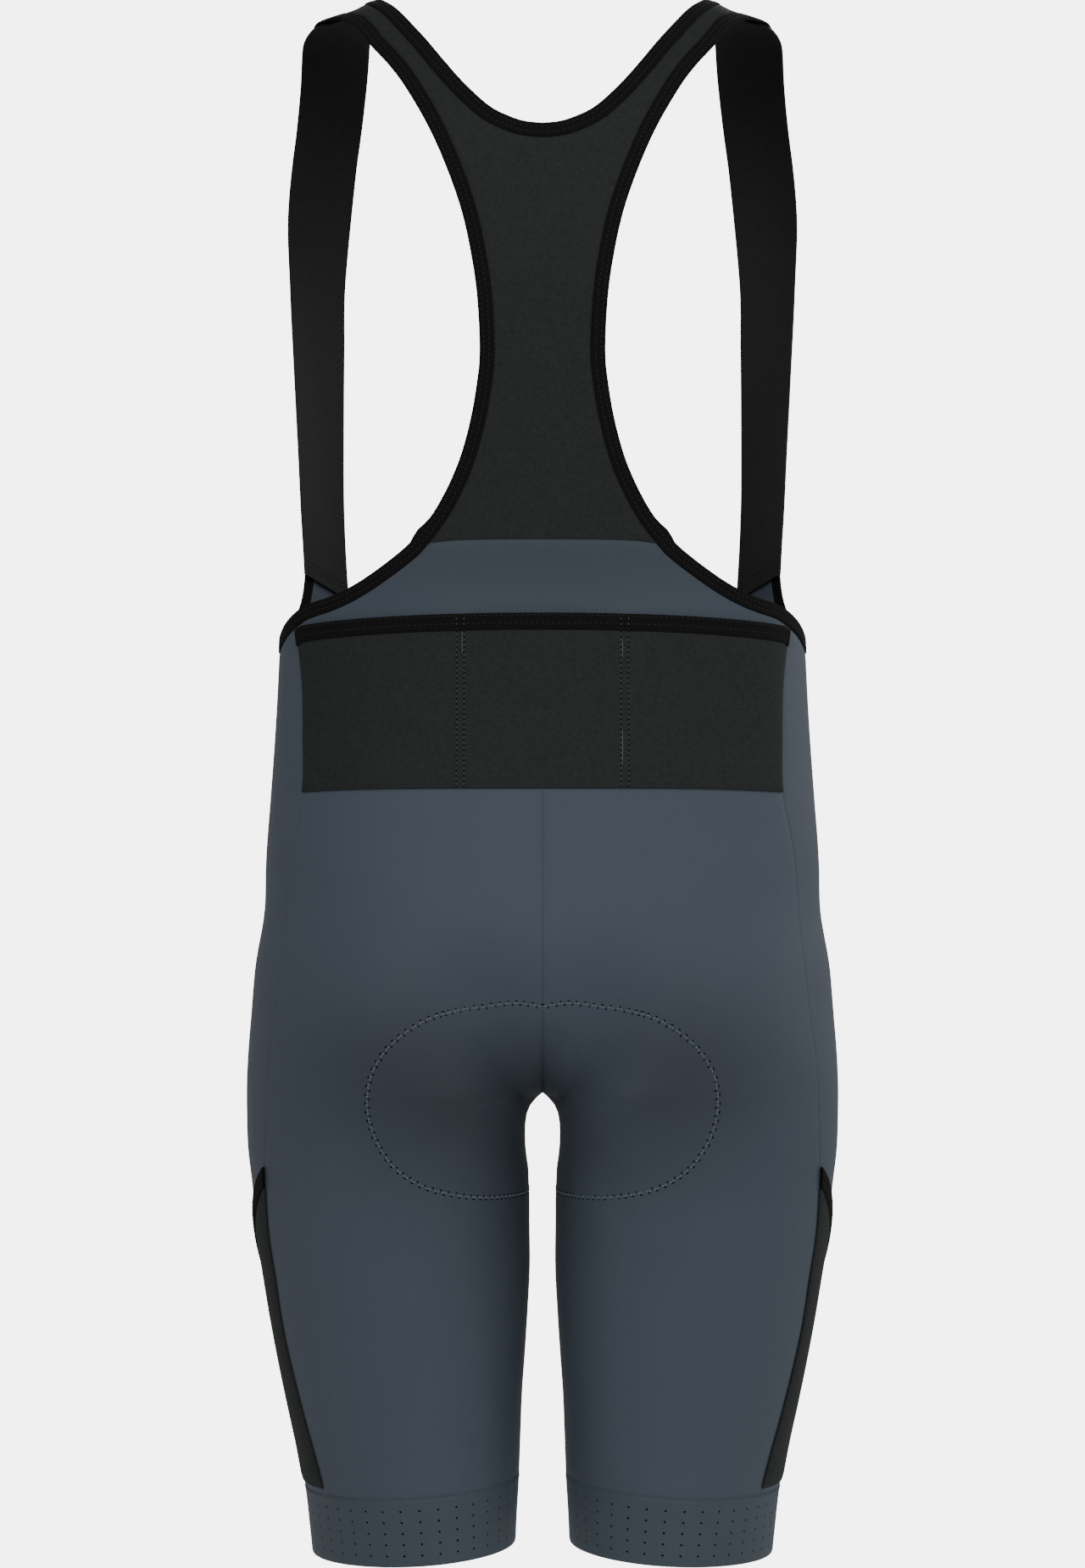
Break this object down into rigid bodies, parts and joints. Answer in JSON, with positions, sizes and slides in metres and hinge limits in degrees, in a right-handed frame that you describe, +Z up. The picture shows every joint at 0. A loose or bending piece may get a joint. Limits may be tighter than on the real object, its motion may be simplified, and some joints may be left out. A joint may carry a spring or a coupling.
{
  "type": "cycling bib shorts",
  "caption": "Cycling bib shorts in the worn form, with mesh racerback, elastic shoulder straps, back pocket, leg pockets and perforated leg grippers.",
  "frame": {"origin": "midway between the tops of the two shoulders, level with the outer face of the cloth over the middle of each strap", "axes": "+X towards the wearer's right, +Y towards the wearer's front, +Z up"},
  "size_m": [0.3588, 0.2233, 0.9402],
  "materials": {
    "stretch_cloth": "smooth blue-grey knit with a soft sheen",
    "ribbed_mesh": "fine ribbed charcoal mesh",
    "binding": "matt black knitted binding with two stitch rows",
    "elastic": "black woven elastic with fine cross ribs",
    "perforated_cloth": "smooth blue-grey band with rows of small holes"
  },
  "bodies": {
    "root": {"upper_back": "ribbed_mesh", "neck_binding": "binding", "armhole_binding_left": "binding", "armhole_binding_right": "binding", "yoke": "stretch_cloth", "back_pocket": "ribbed_mesh", "back_pocket_binding": "binding", "back_left": "stretch_cloth", "back_right": "stretch_cloth", "side_left": "stretch_cloth", "side_right": "stretch_cloth", "side_pocket_left": "ribbed_mesh", "side_pocket_right": "ribbed_mesh", "side_pocket_binding_left": "binding", "side_pocket_binding_right": "binding", "front_left": "stretch_cloth", "front_right": "stretch_cloth", "front_neck_binding": "binding", "gripper_left": "perforated_cloth", "gripper_right": "perforated_cloth", "strap_left": "elastic", "strap_right": "elastic"}
  },
  "joints": []
}
